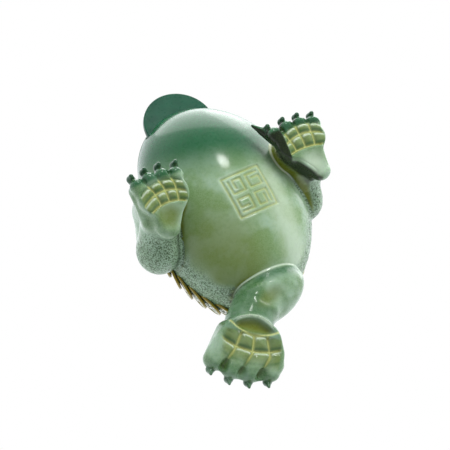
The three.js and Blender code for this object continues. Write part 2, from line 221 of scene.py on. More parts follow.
def surface(field, low, high, pitch):
    """Vertices and quads of the closed surface where field is zero."""
    low = arr(low) - 2 * pitch
    blocks = np.ceil((arr(high) + 2 * pitch - low) / (BLOCK * pitch)).astype(int)
    corners = np.stack(np.meshgrid(*map(np.arange, blocks), indexing="ij"), -1).reshape(-1, 3)
    middles = (low + (corners + 0.5) * BLOCK * pitch).astype(np.float32)
    at_middles = sample(field, middles)
    near = np.abs(at_middles) < 0.5 * math.sqrt(3) * BLOCK * pitch * 1.35 + 1.0
    values = np.empty(tuple(blocks) + (BLOCK,) * 3, np.float32)
    values[...] = (np.sign(at_middles) * FAR).reshape(tuple(blocks) + (1, 1, 1))
    cells = np.stack(np.meshgrid(*[np.arange(BLOCK)] * 3, indexing="ij"), -1).reshape(-1, 3)
    chosen = corners[near]
    at_once = 100
    for i in range(0, len(chosen), at_once):
        some = chosen[i : i + at_once]
        points = (low + (some[:, None] * BLOCK + cells) * pitch).reshape(-1, 3)
        found = field(points.astype(np.float32)).reshape(-1, BLOCK, BLOCK, BLOCK)
        values[some[:, 0], some[:, 1], some[:, 2]] = found
    values = values.transpose(0, 3, 1, 4, 2, 5).reshape(blocks * BLOCK)
    grid = openvdb.FloatGrid(FAR)
    grid.copyFromArray(values)
    grid.transform = openvdb.createLinearTransform(pitch)
    points, quads = grid.convertToQuads(0.0)
    points = (points + low).astype(np.float32)
    for _ in range(2):
        slope = gradient(field, points)
        move = sample(field, points)[:, None] * slope
        move /= np.maximum(np.einsum("ij,ij->i", slope, slope), 0.2)[:, None]
        stride = np.maximum(length(move), 1e-9)
        points -= move * np.minimum(1, 0.6 * pitch / stride)[:, None]
    return points, quads.astype(int)


def build(name, points, faces, material, marks):
    """A mesh object from points in design millimetres, with one float attribute per mark."""
    mesh = bpy.data.meshes.new(name)
    mesh.from_pydata(((points + SHIFT) * MM).tolist(), [], faces)
    mesh.validate()
    mesh.shade_smooth()
    for key, values in marks.items():
        layer = mesh.attributes.new(key, "FLOAT", "POINT")
        layer.data.foreach_set("value", np.clip(values, 0, 1).astype(np.float32))
    mesh.materials.append(material)
    piece = bpy.data.objects.new(name, mesh)
    bpy.context.scene.collection.objects.link(piece)
    return piece


def unit(v):
    return v / np.maximum(length(v), 1e-9)[:, None]


# ---------------------------------------------------------------- trunk
TORSO_AXES = turned(TORSO_PITCH)
HEAD_AXES = turned(HEAD_PITCH)
COIN_AXES = turned(COIN_TILT)


def sway(y):
    """How far the trunk leans towards the toad's left at each y."""
    return np.interp(y, [-30, -10, 20, 45], [0.6, 1.6, 0.8, -1.4]).astype(np.float32)


def swayed(p):
    q = p.copy()
    q[:, 0] -= sway(p[:, 1])
    return q


def trunk(p):
    q = swayed(p)
    d = ellipsoid(q, TORSO_CENTRE, TORSO_RADII, TORSO_AXES)
    d = join(d, ellipsoid(q, HEAD_CENTRE, HEAD_RADII, HEAD_AXES), 8)
    m = mirrored(q, MID_X)
    d = join(d, ellipsoid(q, CROWN_CENTRE, CROWN_RADII), 5)
    return join(d, ellipsoid(m, BROW_CENTRE, BROW_RADII), 2.5)


def body_field(p):
    q = swayed(p)
    m = mirrored(q, MID_X)
    d = trunk(p)
    skin = d
    # eyelids, then sockets
    eye = ball(m, EYE_CENTRE, EYE_RADIUS)
    lids = np.maximum(eye - 1.5, -(m[:, 0] - EYE_CENTRE[0] + 0.3 * (EYE_CENTRE[1] - m[:, 1])) - 9)
    lids = carve(lids, limb(m, (15.5, -19.5, 52.6), (20, -24, 52.8), 3.9, 7), 0.8)
    d = join(d, lids, 1.2)
    d = carve(d, eye - 0.25, 0.3)
    # the mouth: a slot for the coin and a line round the jaw
    local = (p - arr(COIN_CENTRE)) @ COIN_AXES
    slot = np.max(np.abs(local) - arr(SLOT_HALF), axis=1)
    rise = 0.9 + 0.045 * np.maximum(local[:, 1] + 12, 0) ** 1.7
    line = np.maximum(np.abs(local[:, 2] - rise) - 0.4, local[:, 1] - 17)
    line = np.maximum(line, -skin - 1.3)
    d = carve(d, slot, 0.5)
    d = carve(d, line, 0.9)
    d = carve(d, ball(m, NOSTRIL_CENTRE, 1.2), 0.8)
    return d


# ---------------------------------------------------------------- feet
class Foot:
    """A foot's own frame on the ground: u across it, v forward, w up."""

    def __init__(self, origin, heading, side):
        self.origin = arr((side * origin[0], origin[1], 0))
        forward = (side * math.sin(heading), -math.cos(heading), 0)
        right = (side * math.cos(heading), math.sin(heading), 0)
        self.axes = arr((right, forward, (0, 0, 1))).T

    def local(self, p):
        return (p - self.origin) @ self.axes


FRONT_ORIGIN = (29.3, 0)
REAR_ORIGIN = (-17.5, 58.5)
REAR_HEADING = -147.5 * DEG


def front_spread(v):
    """Distance between the front toes' axes, at v."""
    return 4.25 + 0.165 * v


def rear_spread(v):
    return np.interp(v, [1, 8, 16, 21], [4.8, 6.75, 7.2, 7.5])


def rear_bend(v):
    return np.interp(v, [1, 8, 16, 21], [0.3, 0.0, 2.3, 2.2])


def front_axis(i, v):
    inner = 0.8 if i == 0 else 0.0
    return (i - 1.5) * front_spread(v) - 0.3 - inner * step(arr(v), 3, 9)


def rear_axis(i, v):
    return (i - 1.5) * rear_spread(v) + rear_bend(v)


def claws(q, axis, roots, high, size, reach, point):
    """A row of claws, each a knuckle and a hooked tip."""
    d = np.full(len(q), FAR, np.float32)
    for i, v in enumerate(roots):
        root = (axis(i, v), v, high)
        knuckle = (axis(i, v + 1.5 * size), v + 1.5 * size, high + 0.1)
        tip = (axis(i, v + reach), v + reach, high - 1.8 * size)
        d = np.minimum(d, limb(q, root, knuckle, 1.5 * size, 1.55 * size))
        d = join(d, limb(q, knuckle, tip, 1.5 * size, point), 0.3)
    return d


# the feet's forms in their own frames: ellipsoids as centre and radii, limbs as ends and radii
LEFT_PALM = ((-0.2, 0.6, 2.0), (9.9, 6.6, 6.8))
LEFT_HEEL = ((0.9, -2.5, 3.0), (3.4, -11.6, 4.0), 6.2, 3.8)
RIGHT_PALM = ((-0.2, -1.0, 2.0), (9.9, 8.0, 6.8))
RIGHT_HEEL = ((-0.4, -2.5, 3.0), (2.0, -12.0, 4.0), 7.6, 4.6)
FRONT_WALL = ((7.4, 4.0, 5.6), (5.4, -7.5, 8.0), 2.8, 3.2)
SPUR_ROOT = ((-8.0, 4, 5.0), (-11.4, 9.5, 5.4), 2.0, 1.5)
SPUR_TIP = ((-11.4, 9.5, 5.4), (-14.2, 12.4, 5.0), 1.4, 0.5)
REAR_HEEL = ((0.4, 0.8, 2.6), (10.8, 6.4, 7.2))
REAR_PALM = ((0.6, 6.5, 2.2), (13.4, 8.6, 6.2))
REAR_WALL = ((12.4, 12.5, 4.6), (8.4, 1.0, 6.5), 3.9, 4.2)
REAR_WEB = ((1.6, 10.5, 3.6), (13.8, 7.6, 3.2))
# height of the claws' roots, size, reach and point
FRONT_CLAW = (4.0, 1.0, 2.3, 0.85)
REAR_CLAW = (4.2, 1.1, 3.9, 0.55)
LEFT_TIPS = (6.1, 6.8, 6.5, 5.2)
RIGHT_TIPS = (4.5, 5.7, 5.7, 4.9)
REAR_TIPS = (13.2, 15.0, 15.4, 13.4)


def front_foot(q, left):
    """q in the foot's own frame. The left heel is the narrower one."""
    if left:
        d = join(ellipsoid(q, *LEFT_PALM), limb(q, *LEFT_HEEL), 1.2)
    else:
        d = join(ellipsoid(q, *RIGHT_PALM), limb(q, *RIGHT_HEEL), 1.5)
    d = join(d, limb(q, *FRONT_WALL), 1.5)
    for i, tip in enumerate(LEFT_TIPS if left else RIGHT_TIPS):
        root = (front_axis(i, -3), -3, 2.6)
        mid = (front_axis(i, 3.5), 3.5, 2.7)
        end = (front_axis(i, tip), tip, 2.8)
        toe = limb(q, root, mid, 2.2, 2.7)
        toe = join(toe, limb(q, mid, end, 2.7, 3.0), 0.6)
        d = join(d, toe, 0.9)
    return d


def rear_foot(q):
    """q in the foot's own frame."""
    d = join(ellipsoid(q, *REAR_HEEL), ellipsoid(q, *REAR_PALM), 3)
    d = join(d, limb(q, *REAR_WALL), 2)
    d = join(d, ellipsoid(q, *REAR_WEB), 1.2)
    for i, tip in enumerate(REAR_TIPS):
        root = (rear_axis(i, 3), 3, 3.0)
        mid = (rear_axis(i, 10), 10, 3.4)
        end = (rear_axis(i, tip), tip, 3.2)
        toe = limb(q, root, mid, 3.0, 3.55)
        toe = join(toe, limb(q, mid, end, 3.7, 3.3), 0.8)
        d = join(d, toe, 1.3)
    return d


REAR_CLAW_ROOTS = [t + 1.6 for t in REAR_TIPS]
CLAW_ROOTS = {True: [t + 1.6 for t in LEFT_TIPS], False: [t + 2.2 for t in RIGHT_TIPS]}


def flat_sole(d, p):
    """Cuts a form off at the ground, with a soft edge."""
    return -join(-d, p[:, 2], 0.9)


def front_leg(p, side):
    m = p.copy()
    m[:, 0] *= side
    foot = FEET["front_left_leg"]
    q = foot.local(m)
    lean = 0.7 * side
    elbow = (ELBOW[0] - lean, *ELBOW[1:])
    shoulder = (SHOULDER[0] + 1.5 * side, *SHOULDER[1:])
    d = limb(m, shoulder, elbow, 9.0, 7.9)
    d = join(d, limb(m, elbow, WRIST, 7.9, 6.2), 2)
    d = join(d, ellipsoid(m, (30.4 - lean, 17.4, 21.5), (6.6, 7.6, 8.6)), 2)
    d = join(d, limb(m, (28.0, 1.5, 8), (25, 2, 26), 7.2, 8.0), 2)
    left = side > 0
    d = join(d, front_foot(q, left), 3.2)
    nails = claws(q, front_axis, CLAW_ROOTS[left], *FRONT_CLAW)
    if left:
        nails = np.minimum(nails, join(limb(q, *SPUR_ROOT), limb(q, *SPUR_TIP), 0.3))
    d = join(d, nails, 0.35)
    return flat_sole(d, p)


def rear_leg(p):
    q = FEET["rear_leg"].local(p)
    d = ellipsoid(p, (-2.0, 47.0, 12.6), (15.6, 9.6, 8.8), turned(0, -16 * DEG))
    d = join(d, limb(p, (-9, 49.5, 10.5), (-14.6, 54.4, 10.0), 8.2, 8.8), 2.5)
    d = join(d, rear_foot(q), 2.2)
    d = join(d, claws(q, rear_axis, REAR_CLAW_ROOTS, *REAR_CLAW), 0.4)
    return flat_sole(d, p)


FEET = {
    "front_left_leg": Foot(FRONT_ORIGIN, 0, 1),
    "front_right_leg": Foot(FRONT_ORIGIN, 0, -1),
    "rear_leg": Foot(REAR_ORIGIN, REAR_HEADING, 1),
}


def grown_on(limb_field, soft):
    """The limb with a fillet where it grows out of the trunk, and just enough trunk to hold it."""

    def field(p):
        d = limb_field(p)
        return np.maximum(join(d, trunk(p) + SKIN_OVERLAP, soft), d - FILLET_REACH)

    return field


LIMBS = {
    "front_left_leg": grown_on(lambda p: front_leg(p, 1), 1.2),
    "front_right_leg": grown_on(lambda p: front_leg(p, -1), 2.0),
    "rear_leg": grown_on(rear_leg, 0.8),
}


# ---------------------------------------------------------------- relief of the soles
def groove(distance, width):
    return np.exp(-((distance / width) ** 2))


def pad_relief(rows, columns, width, sharp=2.2):
    """Depth of the grooves between the pads, which swell up again over width."""
    nearest = -np.log(np.exp(-sharp * rows) + np.exp(-sharp * columns)) / sharp
    return 0.5 * width * np.clip(1 - nearest / width, 0, 1) ** 1.8


def segment_distance(q, start, end):
    """Distance in the plane from a straight line between two points."""
    start, axis = np.array(start), np.subtract(end, start)
    along = np.clip((q - start) @ axis / (axis @ axis), 0, 1)
    return np.hypot(*(q - start - along[:, None] * axis).T)


def pad_highlight_and_shade(v, highlight_rows, shaded_rows, columns):
    """A painted highlight just before each row of the first list, and painted shade past each row
    of the second.
    """
    arch = 0.85 + 0.9 * np.clip(1 - columns / 2.1, 0, 1) ** 2
    crest_highlight = np.max([groove(row - v - arch, 0.4) for row in highlight_rows], axis=0)
    crest_highlight = crest_highlight * step(columns, 0.4, 0.9)
    pad_shade = np.max([groove(v - row - 0.95, 0.6) for row in shaded_rows], axis=0)
    return crest_highlight, pad_shade


# rows of each front sole: place, curve, and where across the foot the curve peaks
LEFT_ROWS = ((-2.1, 0.022, 0.0), (3.0, 0.035, 1.0), (6.8, 0.035, 1.0))
RIGHT_ROWS = ((-4.0, 0.04, -0.5), (0.3, 0.04, -0.5), (4.2, 0.034, -0.5))


def front_sole(q, left):
    """Depth of the relief under a front foot, and its marks: line, painted highlights on the pads
    (edge), hollow, pads and painted shade on the pads.
    """
    u, v = q[:, 0], q[:, 1]
    spec = LEFT_ROWS if left else RIGHT_ROWS
    rows = [line - curve * (u - peak) ** 2 for line, curve, peak in spec]
    shift = -0.6 * (1 - step(v, 0, 6)) if left else 1.0 * (1 - step(v, 0, 5))
    across = (u + 0.3 + shift) / front_spread(v)
    columns = np.min([np.abs(across - j) for j in (-1, 0, 1)], axis=0) * front_spread(v)
    columns = np.where(v < rows[0], FAR, columns)
    inner = 6.7 if left else 8.9
    inside = step(u, -inner, 0.9 - inner) * step(-u, -9.4, -8.4)
    nearest = np.min([np.abs(v - row) for row in rows], axis=0)
    lined = np.minimum(np.minimum(np.abs(v - rows[0]), np.abs(v - rows[1])), columns)
    hollow = np.exp(-(((u - 1.0) / 5.2) ** 2 + ((v + 9.0) / 4.8) ** 2) ** 1.5)
    fade = inside * step(-q[:, 2], -3.2, -1.6)
    pads = step(v, rows[0] - 1.0, rows[0])
    depth = 0.25 * groove(np.minimum(nearest, columns), 0.42)
    depth += pads * pad_relief(nearest, columns, 2.1)
    line = fade * groove(lined, 0.34) * step(rows[2] - v, -1.0, 0.2)
    # painted highlights on the pads' toe side and painted shade on their heel side
    crest_highlight, pad_shade = pad_highlight_and_shade(v, rows[1:], rows[:2], columns)
    pads = fade * pads * step(rows[2] - v, -0.3, 0.5)
    return fade * depth + 1.3 * hollow, line, pads * crest_highlight, hollow, pads, pads * pad_shade


def rear_sole(q):
    """The same under the rear foot."""
    u, v = q[:, 0], q[:, 1]
    first = 1.5 - 0.035 * u**2
    second = 7.4 - 0.02 * (u - 0.3) ** 2
    rows = np.minimum(np.abs(v - first), np.abs(v - second))
    bend = rear_bend(v) - 0.7 * (1 - step(v, 8, 14))
    across = (u - bend) / rear_spread(v)
    columns = np.min([np.abs(across - j) for j in (-1, 0, 1)], axis=0) * rear_spread(v)
    columns = np.where(v < first, FAR, columns)
    inside = step(u, -11.5, -10.2) * step(-u, -12.6, -9.6)
    nearest = np.minimum(rows, columns)
    heel = -4.6 + 0.055 * (u - 0.4) ** 2
    across_lens = np.clip((v - heel) / np.maximum(first - heel, 0.05), 0, 1)
    across_lens = np.where(first > heel, across_lens, 0)
    lens = np.maximum(np.sin(math.pi * across_lens), 0) ** 0.7 * step(first - heel, 0, 4)
    fade = inside * step(-q[:, 2], -3.6, -1.8)
    pads = step(v, 0.8, 1.8)
    front = step(-v, -19, -16)
    gully = 0.3 * step(v, 8, 15) * np.exp(-((columns / 1.4) ** 2))
    relief = 0.25 * groove(nearest, 0.5) + pads * pad_relief(rows, columns, 2.9) + gully
    depth = fade * front * relief
    line = fade * groove(nearest, 0.42) * step(-v, -13.5, -9.5)
    ridge = groove(v - heel + 0.7, 0.7) * step(first - heel, 0, 3) * step(-q[:, 2], -6, -3)
    # painted highlights on the pads' heel side and painted shade on their toe side
    crest_highlight, pad_shade = pad_highlight_and_shade(-v, (-first, -second), (-second, -second - 6), columns)
    # edge also takes a painted highlight along the ridge on the heel side of the palm's hollow
    edge = np.maximum(fade * pads * crest_highlight, 0.8 * ridge)
    pads = fade * pads * step(-v, -15, -9)
    return depth + fade * 1.9 * lens - 0.5 * ridge, line, edge, lens * fade, pads, pads * pad_shade


# ---------------------------------------------------------------- seal
def seal_bars():
    """The straight lines of a square frame round four square spirals."""
    half = (SEAL_SIDE - 0.8) / 2
    corner, heading = np.array((half, half)), np.array((0.0, -1.0))
    quarter = np.array(((0, -1), (1, 0)))  # a quarter turn to the left
    bars = []
    for _ in range(4):
        end, way = corner * FRET_START / half, heading
        for i in range(FRET_BARS):
            start = end
            end = start + way * (FRET_SIDE - FRET_STEP * max(0, (i - 1) // 2))
            bars.append((start, end))
            way = -quarter @ way
        last = corner
        corner, heading = quarter @ corner, quarter @ heading
        bars.append((last, corner))
    return bars


def seal_distance(p):
    q = (p[:, :2] - SEAL_CENTRE) @ np.array(turned(0, SEAL_TURN))[:2, :2]
    nearest = np.full(len(p), FAR)
    for start, end in seal_bars():
        nearest = np.minimum(nearest, segment_distance(q, start, end))
    return nearest


# ---------------------------------------------------------------- materials
def colour(r, g, b):
    """A colour given in 0-255 sRGB, as linear RGBA."""
    linear = [((c / 255 + 0.055) / 1.055) ** 2.4 if c > 10 else c / 3295 for c in (r, g, b)]
    return (*linear, 1.0)


class Nodes:
    """Short calls for building one material's nodes."""

    def __init__(self, name):
        self.material = bpy.data.materials.new(name)
        self.material.use_nodes = True
        self.tree = self.material.node_tree
        self.shader = self.tree.nodes["Principled BSDF"]

    def add(self, kind, **settings):
        node = self.tree.nodes.new(kind)
        for key, value in settings.items():
            setattr(node, key, value)
        return node

    def link(self, source, target):
        self.tree.links.new(source, target)

    def put(self, socket, value):
        if isinstance(value, bpy.types.NodeSocket):
            self.link(value, socket)
        else:
            socket.default_value = value

    def mark(self, name):
        return self.add("ShaderNodeAttribute", attribute_name=name).outputs["Fac"]

    def place(self):
        return self.add("ShaderNodeTexCoord").outputs["Object"]

    def noise(self, scale, detail=3.0, rough=0.5):
        node = self.add("ShaderNodeTexNoise")
        self.link(self.place(), node.inputs["Vector"])
        self.put(node.inputs["Scale"], scale)
        self.put(node.inputs["Detail"], detail)
        self.put(node.inputs["Roughness"], rough)
        return node.outputs["Fac"]

    def ramp(self, value, low, high, to_low=0.0, to_high=1.0):
        node = self.add("ShaderNodeMapRange", interpolation_type="SMOOTHSTEP")
        for socket, number in zip(node.inputs[:5], (value, low, high, to_low, to_high)):
            self.put(socket, number)
        return node.outputs[0]

    def math(self, operation, a, b):
        node = self.add("ShaderNodeMath", operation=operation)
        self.put(node.inputs[0], a)
        self.put(node.inputs[1], b)
        return node.outputs[0]

    def mix(self, share, a, b):
        node = self.add("ShaderNodeMix", data_type="RGBA")
        self.put(node.inputs["Factor"], share)
        self.put(node.inputs[6], a)
        self.put(node.inputs[7], b)
        return node.outputs[2]

    def bump(self, height, strength, distance):
        node = self.add("ShaderNodeBump")
        self.put(node.inputs["Strength"], strength)
        self.put(node.inputs["Distance"], distance)
        self.link(height, node.inputs["Height"])
        self.link(node.outputs["Normal"], self.shader.inputs["Normal"])


def glass(nodes, tone, roughness, depth=0.25, coat=0.7):
    """The finish that all the pieces share: polished, over a waxy, light-scattering body."""
    shader = nodes.shader
    nodes.put(shader.inputs["Base Color"], tone)
    nodes.put(shader.inputs["Roughness"], roughness)
    shader.inputs["IOR"].default_value = 1.28
    shader.inputs["Subsurface Weight"].default_value = depth
    shader.inputs["Subsurface Radius"].default_value = (0.7, 1.0, 0.6)
    shader.inputs["Subsurface Scale"].default_value = 0.0008
    shader.inputs["Coat Weight"].default_value = coat
    shader.inputs["Coat Roughness"].default_value = 0.13
    shader.inputs["Coat IOR"].default_value = 1.5


def jade(name, clear, cloudy):
    """Green and olive glass that follows the marks painted on the casting, painted shade and
    painted highlights among them.
    """
    n = Nodes(name)
    cloud = n.noise(110, 4)
    grain = n.noise(2600, 2)
    tone = n.mix(n.ramp(cloud, 0.36, 0.64), clear, cloudy)
    tone = n.mix(n.ramp(grain, 0.3, 0.7, 0.0, 0.35), tone, colour(160, 182, 140))
    tone = n.mix(n.mark("olive"), tone, colour(106, 122, 48))
    # dark green that the glass has at the throat, chest and toe tips, and painted shade in valleys,
    # creases and on one side of each pad
    tone = n.mix(n.mark("deep_green_and_shade"), tone, colour(12, 84, 46))
    pits = n.ramp(n.noise(1900, 3, 0.6), 0.49, 0.56)
    pitted = n.math("MULTIPLY", pits, n.mark("pitted"))
    tone = n.mix(n.math("MULTIPLY", n.mark("pitted"), 0.6), tone, colour(158, 186, 160))
    tone = n.mix(n.math("MULTIPLY", pitted, 0.85), tone, colour(60, 84, 44))
    tone = n.mix(n.ramp(n.mark("shade"), 0.2, 0.95), tone, colour(22, 34, 6))
    # olive painted shade in creases, palm hollows, the haunch's dimple and the left foot's inner
    # wall
    tone = n.mix(n.mark("recess_shade"), tone, colour(106, 116, 24))
    # edge: painted highlights beside the seal's lines, on the pads' tops, along the rear palm's
    # ridge and the limbs' joins, and painted light on the belly and the left palm
    tone = n.mix(n.mark("edge"), tone, colour(204, 220, 196))
    tone = n.mix(n.mark("line"), tone, colour(196, 200, 124))
    tone = n.mix(n.mark("claw"), tone, colour(42, 80, 54))
    rough = n.ramp(n.noise(700, 3), 0.3, 0.7, 0.24, 0.34)
    rough = n.math("ADD", rough, n.math("MULTIPLY", n.mark("pitted"), 0.2))
    glass(n, tone, rough)
    height = n.math("ADD", n.math("MULTIPLY", pitted, -1.0), n.math("MULTIPLY", grain, 0.12))
    n.bump(height, 0.6, 0.0002)
    return n.material


def amber(name):
    n = Nodes(name)
    tone = n.mix(n.ramp(n.noise(500, 3), 0.35, 0.65), colour(84, 88, 34), colour(112, 114, 58))
    tone = n.mix(n.mark("rim"), tone, colour(150, 130, 34))
    tone = n.mix(n.mark("relief"), tone, colour(196, 204, 178))
    glass(n, tone, n.ramp(n.noise(900, 3), 0.3, 0.7, 0.12, 0.24), depth=0.2, coat=0.8)
    n.bump(n.noise(1800, 2), 0.25, 0.0001)
    return n.material


def dark_jade(name):
    n = Nodes(name)
    tone = n.mix(n.ramp(n.noise(160, 4), 0.35, 0.65), colour(8, 70, 50), colour(18, 82, 58))
    tone = n.mix(n.ramp(n.noise(2400, 2), 0.4, 0.8, 0.0, 0.15), tone, colour(40, 84, 62))
    glass(n, tone, n.ramp(n.noise(800, 3), 0.3, 0.7, 0.26, 0.36), depth=0.25, coat=0.2)
    n.bump(n.noise(1500, 2), 0.15, 0.0001)
    return n.material


def eye_glass(name):
    n = Nodes(name)
    tone = n.mix(n.ramp(n.noise(900, 3), 0.3, 0.7), colour(132, 96, 30), colour(92, 62, 20))
    tone = n.mix(n.mark("pupil"), tone, colour(10, 9, 8))
    tone = n.mix(n.mark("rim"), tone, colour(30, 24, 12))
    glass(n, tone, 0.08, depth=0.1, coat=1.0)
    return n.material


JADE = jade("jade_body", colour(149, 177, 151), colour(112, 145, 93))
LIMB_JADE = jade("jade_limb", colour(146, 174, 150), colour(88, 124, 80))
DARK = dark_jade("jade_dark")
AMBER = amber("amber_coin")
EYE = eye_glass("eye_glass")


# ---------------------------------------------------------------- sculpting the casting
def crowding(field, points, normals, reach):
    """0 on open skin, towards 1 where the surface closes in on itself."""
    outside = sample(field, points + reach * normals)
    return np.clip(1 - outside / reach, 0, 1)


def casting(p):
    """The whole figurine without its coins, for shading creases."""
    d = trunk(p)
    for field in LIMBS.values():
        d = np.minimum(d, field(p))
    return d


def pitted_skin(p):
    """Where the skin is stippled rather than polished: the flanks and back."""
    height = (swayed(p) - arr(TORSO_CENTRE)) @ TORSO_AXES / arr(TORSO_RADII)
    rise = height[:, 2] + 0.25 * (noise(p, 9) - 0.5)
    back = step(p[:, 1], 2, 22)
    return step(rise, -0.52, -0.34) * back


def sculpt_body():
    pitch = BODY_PITCH
    points, quads = surface(body_field, *BODY_SPACE, pitch)
    normals = unit(gradient(body_field, points, 0.2))
    below = step(-normals[:, 2], 0.3, 0.6)
    seal = np.full(len(points), FAR)
    beside = np.abs(points[:, 0] - SEAL_CENTRE[0])
    along = np.abs(points[:, 1] - SEAL_CENTRE[1])
    near = (beside < SEAL_REACH) & (along < SEAL_REACH)
    near &= below > 0
    seal[near] = seal_distance(points[near])
    pitted = pitted_skin(points)
    bumps = wart_height(points)
    depth = 0.55 * (1 - step(seal, 0.22, 0.6))
    pits = 0.16 * pitted * step(noise(points, 1.1), 0.5, 0.7)
    points = points + normals * (bumps - depth - pits)[:, None]
    # tight: how closely the casting closes in, kept mostly to the toad's right side; it paints
    # shade into the creases there
    tight = crowding(casting, points, normals, 3.0)
    tight *= step(-points[:, 0], -8, 2)
    front = step(0.25 * points[:, 0] - points[:, 1], -5, 14)
    olive = step(points[:, 1] - 0.35 * points[:, 0], 4, 30) * step(-points[:, 0], -7, 8) * below
    # olive: the belly's own olive towards the rear, plus painted olive shade in the creases
    olive = np.maximum(0.68 * olive, 0.8 * step(tight, 0.2, 0.8)) * (1 - pitted)
    # pale: painted light that brightens the belly on the toad's left side
    pale = 0.5 * step(points[:, 0], 4, 13) * step(-points[:, 0], -21, -15)
    pale = pale * step(points[:, 1], -6, 10)
    pale *= below * (1 - pitted)
    marks = {
        "line": 0.6 * groove(seal, 0.32),
        # painted olive shade in the creases on the toad's right side
        "recess_shade": 0.5 * step(tight, 0.3, 0.9),
        "olive": olive,
        "deep_green_and_shade": front,
        "pitted": pitted,
        # edge: painted highlights beside the seal's lines, and the painted light above
        "edge": np.maximum(0.3 * groove(seal - 0.8, 0.4), pale),
        "claw": np.zeros(len(points)),
        "shade": 0.6 * tight * (1 - 0.6 * pitted),
    }
    return build("body_casting", points.astype(float), quads.tolist(), JADE, marks)


def wart_seeds():
    """Warts in staggered rows down the back, with small ones strewn between them."""
    seeds = []
    for row in range(5):
        across = row - 2
        for i in range(4):
            along = 6 + 9.5 * (i + (row % 2) / 2)
            seeds.append((across * 7.4, along, 2.1 * (1 - 0.12 * abs(across))))
    rng = np.random.default_rng(5)
    for _ in range(170):
        seeds.append((rng.uniform(-27, 27), rng.uniform(-6, 44), rng.uniform(0.5, 1.1)))
    return seeds


def wart_height(points):
    q = swayed(points)
    height = np.zeros(len(points), np.float32)
    up = (q - arr(TORSO_CENTRE)) @ TORSO_AXES
    top = up[:, 2] > 3
    some = np.zeros(int(top.sum()), np.float32)
    x, y = q[top, 0] - MID_X, q[top, 1]
    for at_x, at_y, radius in wart_seeds():
        away = np.hypot(x - at_x, y - at_y) / radius
        some = np.maximum(some, 0.75 * radius * np.sqrt(np.clip(1 - away**2, 0, 1)))
    height[top] = some
    return height


